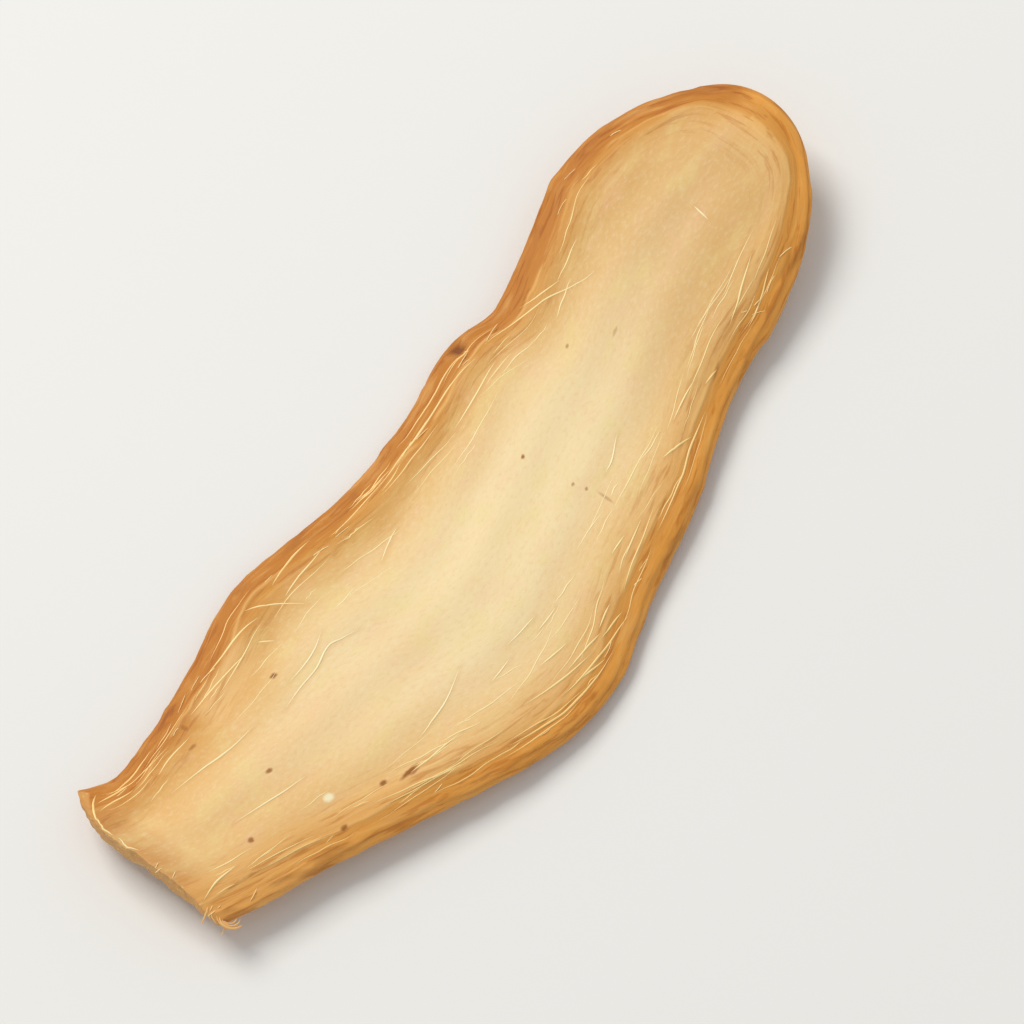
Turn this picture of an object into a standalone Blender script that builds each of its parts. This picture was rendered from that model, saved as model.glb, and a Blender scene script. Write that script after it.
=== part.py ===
"""One dried longitudinal slice of a Solomon's seal rhizome, lying flat on a surface.

It is one grown piece, so it is one solid: two cut faces, with the bark left along both edges
and round the rounded tip. The other end is cut square across the grain.
+X runs along the grain from the cut end to the tip, +Y across it and +Z up. The origin is
under the middle of the slice's box, on the surface it lies on.
Sizes are in millimetres and become metres when the mesh is placed.
"""

import bmesh
import bpy
import numpy as np

MM = 0.001

# The bark edges: distance along the grain from the cut end, and distance across it
LEFT_EDGE = np.array([
    (0.0, 5.3),
    (2.0, 4.4),
    (6.0, 4.4),
    (12.0, 5.1),
    (17.8, 6.15),
    (21.5, 5.45),
    (25.0, 4.8),
    (32.0, 4.8),
    (37.0, 5.45),
    (40.0, 4.7),
    (44.0, 5.5),
    (49.0, 6.7),
    (53.0, 6.2),
    (56.0, 4.7),
    (58.0, 3.0),
])
RIGHT_EDGE = np.array([
    (0.0, -5.7),
    (2.5, -6.8),
    (7.0, -8.4),
    (11.0, -10.1),
    (15.5, -12.15),
    (19.0, -13.6),
    (22.5, -14.5),
    (26.0, -14.5),
    (30.5, -13.2),
    (36.0, -12.0),
    (45.0, -9.25),
    (50.0, -8.6),
    (54.0, -7.4),
    (56.3, -6.1),
    (58.0, -4.5),
])
LENGTH = LEFT_EDGE[-1, 0]

# The ends: the square cut is a little hollow, with its +Y corner worn back, and an arc rounds the tip
CUT_BACK = 1.0
CUT_HOLLOW = 0.3
CUT_CORNER = 1.6
TIP_TURN = 0.8
TIP_REACH = 11.0

# How thick it is, and how far the drying has warped it
THICK_MIDDLE = 2.4
THICK_RIM = 1.7
THIN_AT_CUT = 0.3
THIN_AT_TIP = 0.35
THIN_REACH = 9.0
LIFT_CUT_END = 1.4
LIFT_TIP = 2.6
TWIST = 0.035
MIDDLE_LINE = -4.2
ARCH = 0.2
EDGE_WAVE = 0.12
EDGE_WAVE_REACH = 3.7
EDGE_WAVE_TURN = 2.1
CURL_CORNER = 0.9
CURL_REACH = 2.4
SETTLE = 0.06

# The bark wall, how both faces roll down to it, and the ridge inside that roll
BARK_SLOPE = 0.6
BARK_BULGE = 0.28
TIP_CORNER_EASE = 0.3
ROLL_LEFT = 1.6
ROLL_RIGHT = 3.6
ROLL_SHARE = 0.2
RIDGE_HEIGHT = 0.06
RIDGE_FROM_EDGE = 1.7
RIDGE_WIDTH = 0.6
RING_PLACES = (8.6, 15.4, 29.6, 38.2, 48.3)
RING_HEIGHT = 0.08
RING_WIDTH = 0.7

# The grain: long ribs that wander, and shallow hollows between them, calm near both ends
RIB_HEIGHT = 0.035
RIB_SPACING = 3.6
RIB_WANDER = 1.5
RIB_WANDER_REACH = 9.0
HOLLOW_DEPTH = 0.07
HOLLOW_LENGTH = 4.4
HOLLOW_SKEW = 6.2
HOLLOW_WIDTH = 3.8
HOLLOW_DRIFT = 7.0
CALM_AT_CUT = 5.0
CALM_AT_TIP = 7.0

# The mesh: cells along the grain, across it and through it
CELLS = (80, 26, 4)
CROWD_TO_EDGE = 0.8
CROWD_TO_END = 0.6

FLESH_COLOUR = (0.78, 0.58, 0.30, 1.0)
FLESH_ROUGHNESS = 0.6


def clear_scene():
    """Removes every object that the scene starts with."""
    for thing in list(bpy.data.objects):
        bpy.data.objects.remove(thing, do_unlink=True)


def smooth_through(at, knots, values):
    """A cubic curve through the knots, with each knot's slope taken from its neighbours."""
    slopes = np.gradient(values, knots)
    cell = np.clip(np.searchsorted(knots, at) - 1, 0, len(knots) - 2)
    step = knots[cell + 1] - knots[cell]
    t = (at - knots[cell]) / step
    rise = values[cell + 1] - values[cell]
    start, stop = slopes[cell] * step, slopes[cell + 1] * step
    return values[cell] + t * (start + t * ((3 * rise - 2 * start - stop) + t * (start + stop - 2 * rise)))


def crowded(share, crowding):
    """Moves evenly spaced places from -1 to 1 closer together towards both ends."""
    return np.sin(share * crowding * np.pi / 2) / np.sin(crowding * np.pi / 2)


def hump(distance, width):
    """A bell of height 1 and the given half width."""
    return np.exp(-((distance / width) ** 2))


def nearer(first, second):
    """The smaller of two distances, rounded where they are alike."""
    return (np.maximum(first, 1e-3) ** -4 + np.maximum(second, 1e-3) ** -4) ** -0.25


def cut_line(across):
    """How far the square cut stands back from the first edge points: a little hollow, its +Y corner worn back."""
    return CUT_BACK - CUT_HOLLOW * across**2 + CUT_CORNER * np.clip(across, 0, 1) ** 4


def tip_arc(across, half):
    """How far the tip stands out past the last edge points: an arc as wide as they are."""
    radius = half / np.sin(TIP_TURN)
    return np.sqrt(radius**2 - (across * half) ** 2) - radius * np.cos(TIP_TURN)


def grain_relief(along, beside):
    """Ribs of the grain and the shallow hollows left by drying, in both cut faces, calm at the ends."""
    calm = np.clip(along / CALM_AT_CUT, 0, 1) * np.clip((LENGTH - along) / CALM_AT_TIP, 0, 1)
    wander = RIB_WANDER * np.sin(along / RIB_WANDER_REACH)
    ribs = RIB_HEIGHT * np.sin(2 * np.pi * beside / RIB_SPACING + wander)
    lengthwise = np.sin(along / HOLLOW_LENGTH + beside / HOLLOW_SKEW)
    hollows = HOLLOW_DEPTH * lengthwise * np.sin(beside / HOLLOW_WIDTH + along / HOLLOW_DRIFT)
    return calm * (ribs + hollows)


def warp(x, y, across):
    """The height of the slice's middle layer: ends lifted, a little twisted, arched across, its edges wavy."""
    reach = 2 * x / LENGTH - 1
    lift = (LIFT_TIP + LIFT_CUT_END) / 2 * reach**2 + (LIFT_TIP - LIFT_CUT_END) / 2 * reach**3
    twist = TWIST * reach * (y - MIDDLE_LINE)
    arch = ARCH * (1 - across**2)
    edge = EDGE_WAVE * np.abs(across) ** 3 * np.sin(x / EDGE_WAVE_REACH + EDGE_WAVE_TURN * np.sign(across))
    corner = CURL_CORNER * hump(x, CURL_REACH) * np.clip(across, 0, 1) ** 3
    return lift + twist + arch + edge + corner


def place(lattice):
    """Puts each point of a cube from -1 to 1 on the slice: first along the grain, then across, then through."""
    a, b, c = lattice.T
    across = crowded(b, CROWD_TO_EDGE)
    along = (crowded(a, CROWD_TO_END) + 1) / 2 * LENGTH
    left = smooth_through(along, LEFT_EDGE[:, 0], LEFT_EDGE[:, 1])
    right = smooth_through(along, RIGHT_EDGE[:, 0], RIGHT_EDGE[:, 1])
    half = (left - right) / 2
    tip_half = (LEFT_EDGE[-1, 1] - RIGHT_EDGE[-1, 1]) / 2
    from_side = (1 - np.abs(across)) * half
    from_edge = nearer(from_side, LENGTH - along)

    rings = sum(hump(along - spot, RING_WIDTH) for spot in RING_PLACES)
    slope_in = BARK_SLOPE * (c + 1) / 2 - BARK_BULGE * (1 - c**2) - RING_HEIGHT * rings
    near_tip = np.clip(1 - (LENGTH - along) / TIP_REACH, 0, 1) ** 2
    near_cut = np.clip(1 - along / TIP_REACH, 0, 1)
    slope_in = slope_in * (1 - TIP_CORNER_EASE * near_tip**2 * across**8)
    y = (left + right) / 2 + across * (half - slope_in)
    x = along + near_cut * cut_line(across) + near_tip * (tip_arc(across, tip_half) - slope_in)

    thick = THICK_MIDDLE + (THICK_RIM - THICK_MIDDLE) * across**2
    thick = thick * (1 - THIN_AT_CUT * np.clip(1 - along / THIN_REACH, 0, 1) ** 2)
    thick = thick * (1 - THIN_AT_TIP * np.clip(1 - (LENGTH - along) / THIN_REACH, 0, 1) ** 2)
    roll = ROLL_LEFT + (ROLL_RIGHT - ROLL_LEFT) * (1 - across) / 2
    drop = ROLL_SHARE * thick * np.clip(1 - from_edge / roll, 0, 1) ** 2
    ridge = RIDGE_HEIGHT * hump(from_edge - RIDGE_FROM_EDGE, RIDGE_WIDTH)
    relief = ridge - drop + grain_relief(along, across * half)
    z = warp(x, y, across) + c * (thick / 2 + relief)
    return np.stack([x, y, z], axis=1)


def rest_on_surface(points):
    """Moves the middle of the box over the origin, and rubs the lowest part down to a small flat spot at z 0."""
    low, high = points.min(axis=0), points.max(axis=0)
    centred = points - [(low[0] + high[0]) / 2, (low[1] + high[1]) / 2, low[2] + SETTLE]
    centred[:, 2] = np.maximum(centred[:, 2], 0.0)
    return centred


def divided_cube():
    """A cube primitive from -1 to 1, cut into CELLS along its three directions."""
    form = bmesh.new()
    bmesh.ops.create_cube(form, size=2)
    for axis, cells in enumerate(CELLS):
        along_axis = [
            edge
            for edge in form.edges
            if abs(edge.verts[0].co[axis] - edge.verts[1].co[axis]) > 1
        ]
        bmesh.ops.subdivide_edges(form, edges=along_axis, cuts=cells - 1, use_grid_fill=True)
    return form


def flesh_material():
    """Dried starchy flesh: matt, honey-cream."""
    material = bpy.data.materials.new("dried_flesh")
    material.use_nodes = True
    shader = material.node_tree.nodes["Principled BSDF"]
    shader.inputs["Base Color"].default_value = FLESH_COLOUR
    shader.inputs["Roughness"].default_value = FLESH_ROUGHNESS
    shader.inputs["Metallic"].default_value = 0.0
    return material


def make_slice(collection):
    """The slice: the divided cube, placed by its formula and shaded smooth."""
    form = divided_cube()
    mesh = bpy.data.meshes.new("rhizome_slice")
    form.to_mesh(mesh)
    form.free()
    lattice = np.empty(len(mesh.vertices) * 3)
    mesh.vertices.foreach_get("co", lattice)
    points = rest_on_surface(place(lattice.reshape(-1, 3))) * MM
    mesh.vertices.foreach_set("co", points.ravel())
    mesh.update()
    mesh.shade_smooth()
    mesh.materials.append(flesh_material())
    piece = bpy.data.objects.new("rhizome_slice", mesh)
    collection.objects.link(piece)
    return piece


def main():
    clear_scene()
    collection = bpy.data.collections.new("solomons_seal_slice")
    bpy.context.scene.collection.children.link(collection)
    make_slice(collection)


main()
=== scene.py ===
"""Looks of one dried Solomon's seal rhizome slice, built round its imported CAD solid.

The CAD solid is replaced by a finer mesh of the same form. The strands of its vascular bundles, a few
loose fibres and the frayed corner of the cut are pieces of their own. +X runs along the grain from the
square cut to the rounded tip, +Y across it and +Z up. Shapes are worked out in millimetres and become
metres when they are put into a mesh.
"""

import math
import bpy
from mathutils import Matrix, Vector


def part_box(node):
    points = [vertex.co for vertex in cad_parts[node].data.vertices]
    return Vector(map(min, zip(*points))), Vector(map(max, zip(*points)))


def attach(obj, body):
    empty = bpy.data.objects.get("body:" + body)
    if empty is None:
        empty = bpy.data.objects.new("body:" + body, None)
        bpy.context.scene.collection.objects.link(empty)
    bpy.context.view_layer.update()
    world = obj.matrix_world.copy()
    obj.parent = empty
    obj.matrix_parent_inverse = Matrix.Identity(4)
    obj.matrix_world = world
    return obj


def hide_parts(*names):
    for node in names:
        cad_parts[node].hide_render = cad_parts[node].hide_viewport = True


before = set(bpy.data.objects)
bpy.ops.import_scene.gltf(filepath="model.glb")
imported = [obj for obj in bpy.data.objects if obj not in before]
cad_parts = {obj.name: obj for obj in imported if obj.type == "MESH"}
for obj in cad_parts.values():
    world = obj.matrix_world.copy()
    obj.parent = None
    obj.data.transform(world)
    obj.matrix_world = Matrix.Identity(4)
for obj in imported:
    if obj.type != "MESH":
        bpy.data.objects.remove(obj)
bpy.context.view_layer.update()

from types import SimpleNamespace

import bpy
import numpy as np
from bpy.props import FloatProperty, FloatVectorProperty, IntProperty, PointerProperty
from mathutils import Vector

bl_info = {
    "name": "Rhizome slice",
    "version": (1, 0, 0),
    "blender": (4, 5, 0),
    "location": "3D View > Sidebar > Rhizome slice",
    "description": "Builds a dried rhizome slice with its strands, its loose fibres and a plain studio",
    "category": "Add Mesh",
}

MM = 0.001
SLICE_LOW, SLICE_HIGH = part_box("rhizome_slice")
BODY = "root"

# The bark edges: distance along the grain from the cut end, and distance across it
LEFT_EDGE = np.array([
    (0.0, 5.3),
    (2.0, 4.4),
    (6.0, 4.4),
    (12.0, 5.1),
    (17.8, 6.15),
    (21.5, 5.45),
    (25.0, 4.8),
    (32.0, 4.8),
    (37.0, 5.45),
    (40.0, 4.7),
    (44.0, 5.5),
    (49.0, 6.7),
    (53.0, 6.2),
    (56.0, 4.7),
    (58.0, 3.0),
])
RIGHT_EDGE = np.array([
    (0.0, -5.7),
    (2.5, -6.8),
    (7.0, -8.4),
    (11.0, -10.1),
    (15.5, -12.15),
    (19.0, -13.6),
    (22.5, -14.5),
    (26.0, -14.5),
    (30.5, -13.2),
    (36.0, -12.0),
    (45.0, -9.25),
    (50.0, -8.6),
    (54.0, -7.4),
    (56.3, -6.1),
    (58.0, -4.5),
])
LENGTH = LEFT_EDGE[-1, 0]

# The ends, as in the CAD solid: a square cut, a little hollow and worn back at +Y, and a round tip
CUT_BACK = 1.0
CUT_HOLLOW = 0.3
CUT_CORNER = 1.6
TIP_TURN = 0.8
TIP_REACH = 11.0

# How thick it is, and how far the drying has warped it
THICK_MIDDLE = 2.4
THICK_RIM = 1.7
THIN_AT_CUT = 0.3
THIN_AT_TIP = 0.35
THIN_REACH = 9.0
LIFT_CUT_END = 1.4
LIFT_TIP = 2.6
TWIST = 0.035
MIDDLE_LINE = -4.2
ARCH = 0.2
EDGE_WAVE = 0.12
EDGE_WAVE_REACH = 3.7
EDGE_WAVE_TURN = 2.1
CURL_CORNER = 0.9
CURL_REACH = 2.4
SETTLE = 0.06

# The bark wall, how both faces roll down to it, and the ridge inside that roll
BARK_SLOPE = 0.6
BARK_BULGE = 0.28
TIP_CORNER_EASE = 0.3
ROLL_LEFT = 1.6
ROLL_RIGHT = 3.6
ROLL_SHARE = 0.2
RIDGE_HEIGHT = 0.06
RIDGE_FROM_EDGE = 1.7
RIDGE_WIDTH = 0.6
RING_PLACES = (8.6, 15.4, 29.6, 38.2, 48.3)
RING_HEIGHT = 0.08
RING_WIDTH = 0.7

# The grain: long ribs that wander, and shallow hollows between them, calm near both ends
RIB_HEIGHT = 0.035
RIB_SPACING = 3.6
RIB_WANDER = 1.5
RIB_WANDER_REACH = 9.0
HOLLOW_DEPTH = 0.07
HOLLOW_LENGTH = 4.4
HOLLOW_SKEW = 6.2
HOLLOW_WIDTH = 3.8
HOLLOW_DRIFT = 7.0
CALM_AT_CUT = 5.0
CALM_AT_TIP = 7.0

# The fine mesh and the coarser one that finds its place: points along the grain, across it and through it
FINE_POINTS = (237, 177, 17)
COARSE_POINTS = (81, 27, 5)
CROWD_TO_EDGE = 0.8
CROWD_TO_END = 0.6
TOUCHING = 1e-6
SHARP_ANGLE = 50.0
BARK_SIDE_FADE = (0.1, 0.6)

# Seeds of the noise and of the random draws, so that no two uneven things are alike
LINE_SEED = 21
RIND_SEED = 24
LIP_SEED = 26
WAVER_SEED = 31
LEFT_WALL_SEED = 41
RIGHT_WALL_SEED = 51
TEAR_SEED = 61
UPPER_FACE_SEED = 71
LOWER_FACE_SEED = 81
UPPER_STRANDS_SEED = 5
LOWER_STRANDS_SEED = 6
FIBRE_SEED = 7

# The noise: its cells before it repeats, and how far on the +Y side reads it, so that the sides differ
NOISE_CELLS = 64
SIDE_SHIFT = 20.0

# Uneven relief of the cut faces: how high it is, and how long and how wide its bumps are
FLUTES = (0.006, 5.0, 1.1)
DIMPLES = (0.014, 2.2, 1.4)

# The raised lines that run beside the bark on both cut faces, how they wander, and the patches they come in
LINE_HEIGHT = 0.015
LINE_SPACING = 0.55
LINE_REACH = 2.2
LINE_FULL_REACH = 0.4 * LINE_REACH
LINE_WANDER = (0.7, 5.0, 1.2)
LINE_JITTER = (0.25, 1.3, 1.0)
LINE_PATCHES = (1.0, 2.6, 0.9)
LINE_PATCH_LEVELS = (-0.35, 0.55)

# Where the knife's face ends and the rind begins, in from the bark, with its lip and the step down past it
RIND_WIDTH = 0.95
RIND_WANDER = (0.25, 3.5, 1.0)
RIND_JITTER = (0.08, 0.8, 1.0)
RIND_FADE = (-0.06, 0.1)
RIND_STEP = 0.04
LIP_HEIGHT = 0.03
LIP_WIDTH = 0.13
LIP_PATCHES = (1.0, 2.1, 1.0)
LIP_PATCH_LEVELS = (-0.6, 0.3)

# The furrow beside each placed strand: how many strand widths away, and the strand width that it is full at
FURROW_DEPTH = 0.016
FURROW_WIDTH = 0.14
FURROW_ASIDE = 0.75
FURROW_FULL_FROM = 0.2

# The bark wall: its height, its ribs, bumps and creases, and the power by which they fade inward
WALL_HEIGHT = 1.4
WALL_DRIFT = 2.2
WALL_DRIFT_LENGTH = 3.2
WALL_RIB_HEIGHT = 0.045
WALL_RIB_TURN = 7.5
WALL_BUMP_HEIGHT = 0.04
WALL_BUMP_LENGTH = 1.8
WALL_BUMP_RATE = 1.3
WALL_CREASE_HEIGHT = 0.03
WALL_CREASE_LENGTH = 0.6
WALL_CREASE_RATE = 2.4
WALL_FADE = 12

# The ragged cut: coarse tears and finer nicks, fading a little way along the grain
TEAR_DEPTH = 0.09
TEAR_WIDTH = 0.7
TEAR_RATE = 1.3
NICK_DEPTH = 0.04
NICK_WIDTH = 0.2
NICK_RATE = 3.5
RAGGED_REACH = 1.0

# The scar of a root in the +Y wall: its place along the grain, its pit and its stain
ROOT_SCAR = 36.8
SCAR_DEPTH = 0.45
SCAR_LENGTH = 0.45
SCAR_UP = 0.6
SCAR_TALL = 0.5
STAIN_LENGTH = 0.4
STAIN_ACROSS = (0.955, 0.995)
STAIN_UP = (-0.2, 0.3)

# Strands that show on the upper face: (along the grain in mm, across it from -1 to 1), then the width
TOP_STRANDS = (
    (((17.9, 0.42), (16.8, 0.36), (15.6, 0.34), (14.2, 0.35)), 0.13),
    (((19.3, 0.27), (18.2, 0.29), (17.4, 0.31), (15.8, 0.26), (14.2, 0.26), (12.6, 0.24)), 0.14),
    (((11.1, 0.33), (8.9, 0.34), (7.2, 0.39), (4.2, 0.48)), 0.14),
    (((8.1, 0.71), (6.1, 0.73), (4.7, 0.71)), 0.12),
    (((14.4, 0.73), (11.9, 0.80), (9.2, 0.84)), 0.14),
    (((16.5, 0.79), (14.4, 0.86), (11.9, 0.92)), 0.16),
    (((22.2, 0.97), (20.5, 0.94), (18.5, 0.87)), 0.16),
    (((22.3, 0.86), (19.9, 0.80), (18.4, 0.75)), 0.14),
    (((16.4, 0.90), (17.3, 0.80), (18.8, 0.62)), 0.12),
    (((15.2, 0.70), (15.9, 0.60)), 0.12),
    (((5.6, 0.97), (3.6, 0.97), (1.1, 0.94)), 0.14),
    (((2.9, 0.92), (1.7, 0.92), (0.5, 0.88)), 0.14),
    (((2.9, 0.83), (1.5, 0.84), (0.5, 0.79)), 0.14),
    (((3.2, -0.63), (1.7, -0.68), (0.3, -0.82)), 0.14),
    (((10.3, -0.30), (8.1, -0.29), (5.0, -0.24)), 0.12),
    (((17.7, -0.69), (15.6, -0.72), (14.0, -0.75)), 0.14),
    (((20.9, -0.31), (18.9, -0.44), (17.1, -0.52), (15.9, -0.57)), 0.13),
    (((27.2, -0.96), (22.6, -0.95), (18.7, -0.92)), 0.16),
    (((26.1, -0.85), (23.6, -0.80), (21.1, -0.76)), 0.14),
    (((27.0, -0.51), (25.2, -0.50)), 0.12),
    (((25.9, -0.43), (23.4, -0.41)), 0.12),
    (((22.9, -0.48), (21.1, -0.52)), 0.12),
    (((25.7, -0.69), (23.5, -0.65)), 0.13),
    (((29.1, -0.83), (27.5, -0.82)), 0.14),
    (((27.4, -0.84), (26.3, -0.81), (24.3, -0.79)), 0.14),
    (((26.4, -0.94), (24.1, -0.87)), 0.13),
    (((29.4, -0.97), (26.4, -0.90), (22.9, -0.87)), 0.15),
    (((32.9, -0.73), (31.5, -0.71)), 0.13),
    (((29.2, -0.92), (27.2, -0.86)), 0.14),
    (((34.3, -0.78), (31.8, -0.80)), 0.13),
    (((37.7, -0.35), (36.2, -0.41), (35.3, -0.41)), 0.12),
    (((40.2, -0.89), (38.9, -0.79), (38.0, -0.73)), 0.18),
    (((42.0, -0.93), (40.0, -0.91), (37.8, -0.92), (34.3, -0.92)), 0.16),
    (((43.1, -0.76), (41.6, -0.72), (40.2, -0.70)), 0.14),
    (((44.4, -0.89), (43.2, -0.85)), 0.13),
    (((51.1, -0.87), (49.7, -0.91), (47.5, -0.94)), 0.15),
    (((51.1, -0.69), (48.9, -0.75), (46.8, -0.82)), 0.14),
    (((45.2, 0.40), (43.8, 0.51), (41.8, 0.73), (39.6, 0.86), (37.6, 0.86)), 0.12),
    (((43.4, 0.66), (42.2, 0.76), (40.8, 0.89)), 0.12),
    (((37.3, 0.70), (35.3, 0.68), (32.3, 0.71)), 0.13),
    (((37.0, 0.83), (33.8, 0.90), (30.4, 0.91), (26.7, 0.91)), 0.16),
    (((37.1, 0.95), (33.6, 0.97), (29.7, 0.98)), 0.14),
    (((25.6, 0.63), (24.7, 0.60), (23.3, 0.53)), 0.12),
    (((51.3, -0.06), (51.1, -0.23)), 0.14),
    (((0.52, 0.98), (0.28, 0.89), (0.16, 0.76), (0.14, 0.66)), 0.15),
    (((0.22, 0.73), (0.12, 0.58), (0.20, 0.44)), 0.12),
    (((0.24, 0.40), (0.12, 0.24), (0.22, 0.10)), 0.10),
)

# How strands are drawn out, sunk in the face and made uneven, and the share of its width that any fibre
# keeps at its ends
STRAND_RINGS = 25
STRAND_SIDES = 8
STRAND_BLUNT = 2
THINNEST = 0.04
STRAND_SINK = 0.45
STRAND_WAVER = 0.003
STRAND_WAVER_LENGTH = 1.7
STRAND_UNEVEN = 0.15
STRAND_UNEVEN_LENGTH = 0.9
STRAND_NOISE_SPREAD = 9

# Scattered strands: lengths and starts in mm, lanes and widths, and how they drift and wobble across
SCATTERED_LENGTHS = (1.0, 6.0)
SCATTERED_STARTS = (0.8, LENGTH - 8.0)
SCATTERED_LANES = (0.25, 0.97)
SCATTERED_CROWDING = 0.55
SCATTERED_DRIFT = 0.012
SCATTERED_WOBBLE = 0.003
SCATTERED_WAVES = (1, 3)
SCATTERED_TURN = 6
SCATTERED_WIDTHS = (0.05, 0.10)

# Loose fibres: where those at the cut and those at the rims start, and how each leaves the face
FIBRES_AT_CUT = 0.2
CUT_FIBRES_ALONG = (0.1, 0.9)
CUT_FIBRES_FROM = -0.97
CUT_FIBRES_SPAN = 1.9
CUT_FIBRE_LENGTH = 0.4
RIM_FIBRES_ALONG = (1.0, LENGTH - 3.0)
RIM_FIBRES_ACROSS = (0.85, 0.98)
FIBRE_LENGTHS = (0.4, 1.5)
FIBRE_RADII = (0.016, 0.03)
FIBRE_SPREAD = 0.22
FIBRE_BEND = 0.3
FIBRE_RISE = (0.01, 0.07)
FIBRE_SINK = 0.02
FIBRE_BLUNT = 6
FIBRE_RINGS = 11
FIBRE_SIDES = 6
FIBRE_TONE = 2.5

# Bark fibres curled at the cut's -Y corner: share across, share through, heading and turn in degrees,
# length, width and droop
FRAYED_FIBRES = (
    (-0.97, 0.5, 216.0, 150.0, 1.8, 0.16, 0.4),
    (-0.98, 0.3, 224.0, 170.0, 1.5, 0.11, 0.3),
    (-0.95, 0.6, 210.0, 125.0, 1.6, 0.08, 0.5),
    (-0.96, 0.1, 232.0, 110.0, 1.2, 0.08, 0.4),
    (-0.87, 0.9, 207.0, -25.0, 1.1, 0.11, 0.4),
    (-0.84, 0.8, 214.0, 30.0, 0.9, 0.07, 0.3),
    (-0.99, 0.0, 238.0, 175.0, 1.1, 0.09, 0.2),
    (-0.92, 0.8, 196.0, 90.0, 0.9, 0.07, 0.2),
    (-0.98, -0.5, 230.0, -60.0, 0.8, 0.07, 0.2),
)
FRAY_ROOT = 0.35
FRAY_FLATNESS = 0.5
FRAY_BLUNT = 3
FRAY_RINGS = 17
FRAY_SIDES = 8
FRAY_TONE = -1.0

# Marks on the upper face: along the grain, beside its middle line, length, width and strength
SPECKS = (
    (33.3, 1.5, 0.17, 0.15, 0.9),
    (33.6, -2.1, 0.14, 0.12, 0.6),
    (33.85, -3.0, 0.14, 0.12, 0.6),
    (34.1, -4.3, 0.12, 0.65, 0.4),
    (40.3, 2.8, 0.16, 0.13, 0.6),
    (42.6, 0.3, 0.35, 0.13, 0.35),
    (8.3, 5.45, 0.20, 0.36, 0.6),
    (7.6, 4.1, 0.36, 0.15, 0.6),
    (14.1, 4.0, 0.26, 0.19, 0.95),
    (9.1, -0.4, 0.28, 0.17, 0.85),
    (4.9, -3.0, 0.22, 0.20, 0.85),
    (9.1, -6.1, 0.28, 0.18, 0.85),
    (12.6, -5.7, 0.28, 0.18, 0.9),
    (14.0, -6.3, 0.75, 0.18, 0.95),
    (14.2, -6.5, 0.4, 0.14, 0.7),
)

# The spot of starch, placed in the same way, how all marks fade and bend, and their share through the slice
STARCH_SPOT = (10.0, -4.1, 0.38, 0.3)
SPOT_FADE = (1.25, 0.35)
SPOT_BEND = 0.12
UPPER_FACE = 1.0

# Colour scales: distance in from the bark in mm (below 0 on its wall), then the screen colour there. Each
# scale ends in a colour from the panel, at the place given last.
BAND_SPAN = (-0.9, 7.0)
THIN_BAND = (
    # The two stops on the wall carry painted bounce light that brightens the shaded -Y wall
    (-0.9, (212, 142, 58)),
    (-0.1, (222, 150, 58)),
    (0.35, (226, 156, 70)),
    (0.9, (240, 182, 104)),
    (2.0, (240, 194, 126)),
    (3.6, (241, 207, 148)),
)
THIN_BAND_END = 6.5
BROAD_BAND = (
    (-0.9, (186, 122, 54)),
    (0.0, (176, 108, 34)),
    (0.5, (190, 126, 44)),
    (1.2, (204, 142, 58)),
    (2.2, (218, 168, 96)),
    (3.2, (232, 192, 128)),
    (4.4, (238, 206, 148)),
)
BROAD_BAND_END = 7.0
STRAND_SPAN = (-1.0, 6.0)
STRAND_BAND = (
    (-1.0, (236, 184, 114)),
    (0.0, (252, 206, 126)),
    (1.2, (255, 224, 150)),
    (3.0, (255, 234, 172)),
)
STRAND_BAND_END = 6.0

# Blotches of the flesh: fineness in each direction, the noise levels they rise between, strength and colour
BLOTCHES = (
    ((0.16, 0.38, 0.5), 0.5, 0.75, 0.22, (238, 192, 136)),
    ((0.4, 0.7, 0.7), 0.5, 0.7, 0.3, (240, 222, 150)),
    ((0.33, 0.6, 2.0), 0.52, 0.7, 0.22, (244, 202, 164)),
)

# Tones that go over the flesh and the bark, as screen colours
CUT_END_TAN = (234, 184, 110)
# Partly painted shade: the browner edge of the cut and the tan towards the tip
CUT_EDGE_BROWN = (198, 134, 60)
TIP_TAN = (218, 168, 96)
PALE_MEAL = (254, 242, 208)
DARK_MEAL = (210, 158, 92)
# Painted light: a paler tone for the -Y rim by the cut, brightening a stretch that lies in shade
RIM_PAINTED_LIGHT = (244, 184, 106)
PALE_PATCH = (240, 200, 136)
RIND_ON_FACE = (218, 152, 66)
# Painted bounce light: the rind on the shaded -Y wall, brighter than on the face
RIND_ON_WALL = (238, 168, 76)
BROAD_RIND = (194, 124, 44)
# Painted highlight on the raised lip along the rind's edge
LIP_PAINTED_HIGHLIGHT = (252, 210, 134)
BARK_DUST = (224, 168, 96)
BARK_SOOT = (158, 92, 30)
# Lines along the rim: partly streaks of the grain, partly painted light on the crests and in the hollows of
# their bumps
PALE_LINES = (130, 106, 66)
DARK_LINES = (214, 180, 140)
# Painted shade in the furrow beside each placed strand
FURROW_PAINTED_SHADE = (206, 142, 70)
CUT_FACE_TAN = (216, 166, 98)
FIBRE_ENDS = (246, 214, 152)
SCAR_BROWN = (120, 62, 18)
STARCH_WHITE = (255, 246, 206)
WARM_CAST = (254, 250, 245)
STRAND_PATCHES = (236, 190, 120)

# Finishes: roughness and specular level, and the flesh's fine bump
FLESH_FINISH = (0.58, 0.28)
STRAND_FINISH = (0.36, 0.5)
FLOOR_FINISH = (0.7, 0.2)
BUMP_STRENGTH = 0.35
BUMP_DEPTH = 0.00015

# The studio: the camera's direction, and what its picture takes in at the slice
VIEW_AZIMUTH = -53.5
VIEW_ELEVATION = 66.0
VIEW_LENS = 200.0
VIEW_WIDTH = 0.058
VIEW_NEAREST = 0.01
SENSOR_WIDTH = 36.0

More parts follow.
